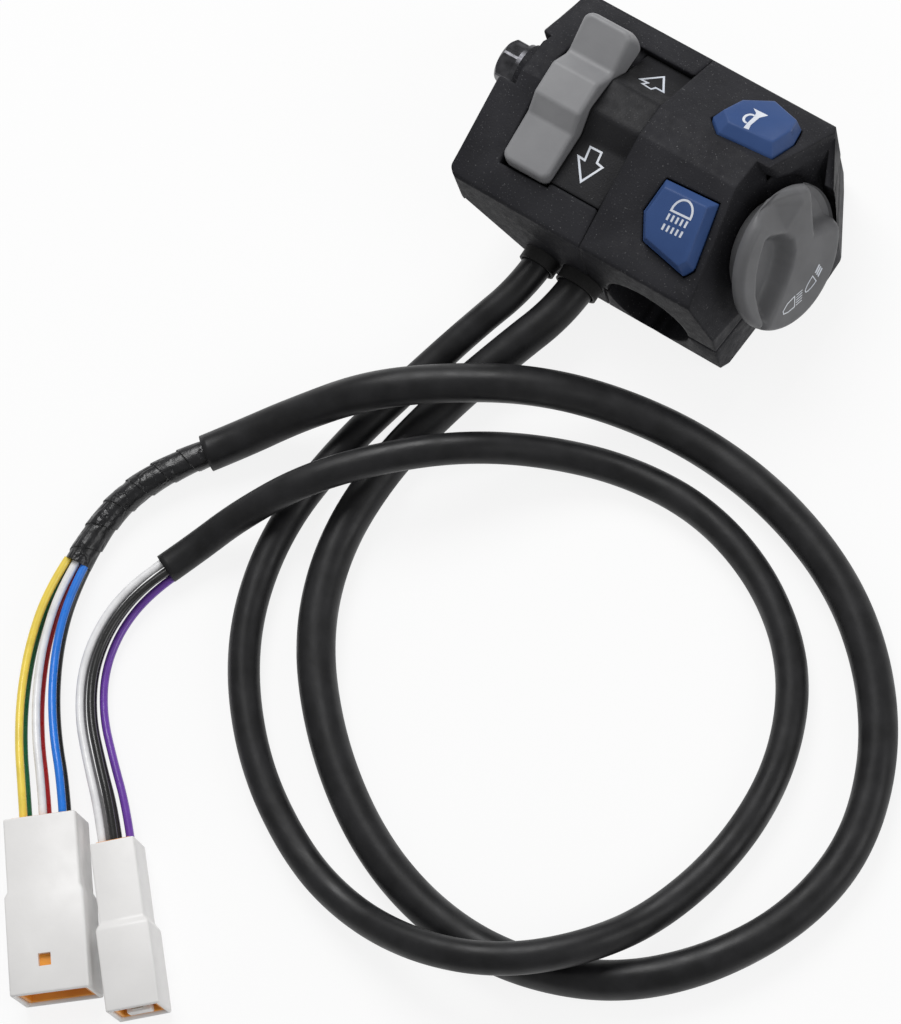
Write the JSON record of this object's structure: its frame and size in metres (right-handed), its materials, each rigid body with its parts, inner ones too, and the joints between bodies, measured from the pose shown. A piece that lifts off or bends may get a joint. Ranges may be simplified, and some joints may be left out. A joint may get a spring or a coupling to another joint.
{
  "type": "motorcycle headlight flasher switch",
  "caption": "Left handlebar switch block with a turn signal rocker, flasher and horn buttons, a light knob, two sleeved cables in a loop and two wire plugs.",
  "frame": {"origin": "on the handlebar's axis, 26 mm inside the end of the case that the cables leave", "axes": "+X from the turn signal rocker to the light knob, +Y along the handlebar, +Z out of the front; the switch lies on its back with the cables on the same floor"},
  "size_m": [0.1978, 0.2645, 0.0473],
  "materials": {
    "case_black": "grained moulded plastic",
    "panel_black": "satin moulded plastic",
    "rocker_grey": "satin grey plastic",
    "button_blue": "deep blue plastic",
    "knob_grey": "satin grey plastic",
    "zinc_steel": "zinc plated",
    "dark_steel": "blackened steel",
    "spring_steel": "drawn wire",
    "contact_brass": "stamped",
    "gland_rubber": "matt rubber",
    "sleeve_black": "soft vinyl sleeve",
    "tape_black": "vinyl tape",
    "plug_white": "natural white plastic",
    "seal_orange": "silicone seal",
    "wire_black": "vinyl insulation",
    "wire_blue": "vinyl insulation",
    "wire_brown": "vinyl insulation",
    "wire_green": "vinyl insulation",
    "wire_grey": "vinyl insulation",
    "wire_purple": "vinyl insulation",
    "wire_red": "vinyl insulation",
    "wire_white": "vinyl insulation",
    "wire_yellow": "vinyl insulation"
  },
  "bodies": {
    "housing": {"clamp_case": "case_black", "button_case": "case_black", "clamp_half": "case_black", "clamp_screw_near": "zinc_steel", "clamp_screw_far": "zinc_steel", "clamp_nut": "zinc_steel", "signal_panel": "panel_black", "rocker_pin": "zinc_steel", "clamp_bolt": "dark_steel", "bolt_washer": "dark_steel", "flash_spring": "spring_steel", "horn_spring": "spring_steel", "flash_contact": "contact_brass", "horn_contact": "contact_brass", "gland_thin": "gland_rubber", "gland_thick": "gland_rubber", "sleeve_thin": "sleeve_black", "sleeve_thick": "sleeve_black", "tape_wrap": "tape_black", "wire_wide_yellow": "wire_yellow", "wire_wide_white": "wire_white", "wire_wide_blue": "wire_blue", "wire_wide_green": "wire_green", "wire_wide_red": "wire_red", "wire_wide_black": "wire_black", "wire_narrow_white": "wire_white", "wire_narrow_black": "wire_black", "wire_narrow_grey": "wire_grey", "wire_narrow_brown": "wire_brown", "wire_narrow_purple": "wire_purple", "plug_wide": "plug_white", "plug_wide_wire_seal": "seal_orange", "plug_wide_ring_seal": "seal_orange", "plug_narrow": "plug_white", "plug_narrow_wire_seal": "seal_orange", "plug_narrow_ring_seal": "seal_orange", "plug_wide_retainer": "seal_orange", "plug_narrow_retainer": "zinc_steel"},
    "rocker": {"signal_rocker": "rocker_grey"},
    "flasher": {"flash_button": "button_blue"},
    "horn": {"horn_button": "button_blue"},
    "knob": {"light_knob": "knob_grey"}
  },
  "joints": [
    {"name": "rocker_tilt", "type": "hinge", "parent": "housing", "child": "rocker", "pos_m": [-0.0357, 0.002, 0.024], "axis": [1, 0, 0], "range_deg": [-14, 0]},
    {"name": "flash_press", "type": "slide", "parent": "housing", "child": "flasher", "axis": [0, 0.3473, -0.9378], "range_m": [0, 0.002], "stiffness_N_per_m": 600, "springref_m": -0.0005, "deforming": ["flash_spring"]},
    {"name": "horn_press", "type": "slide", "parent": "housing", "child": "horn", "axis": [0, -0.545, -0.8384], "range_m": [0, 0.002], "stiffness_N_per_m": 600, "springref_m": -0.0005, "deforming": ["horn_spring"]},
    {"name": "knob_turn", "type": "hinge", "parent": "housing", "child": "knob", "pos_m": [0.01721, -0.0022, 0.0102], "axis": [0.9397, 0, 0.342], "range_deg": [0, 45]}
  ]
}
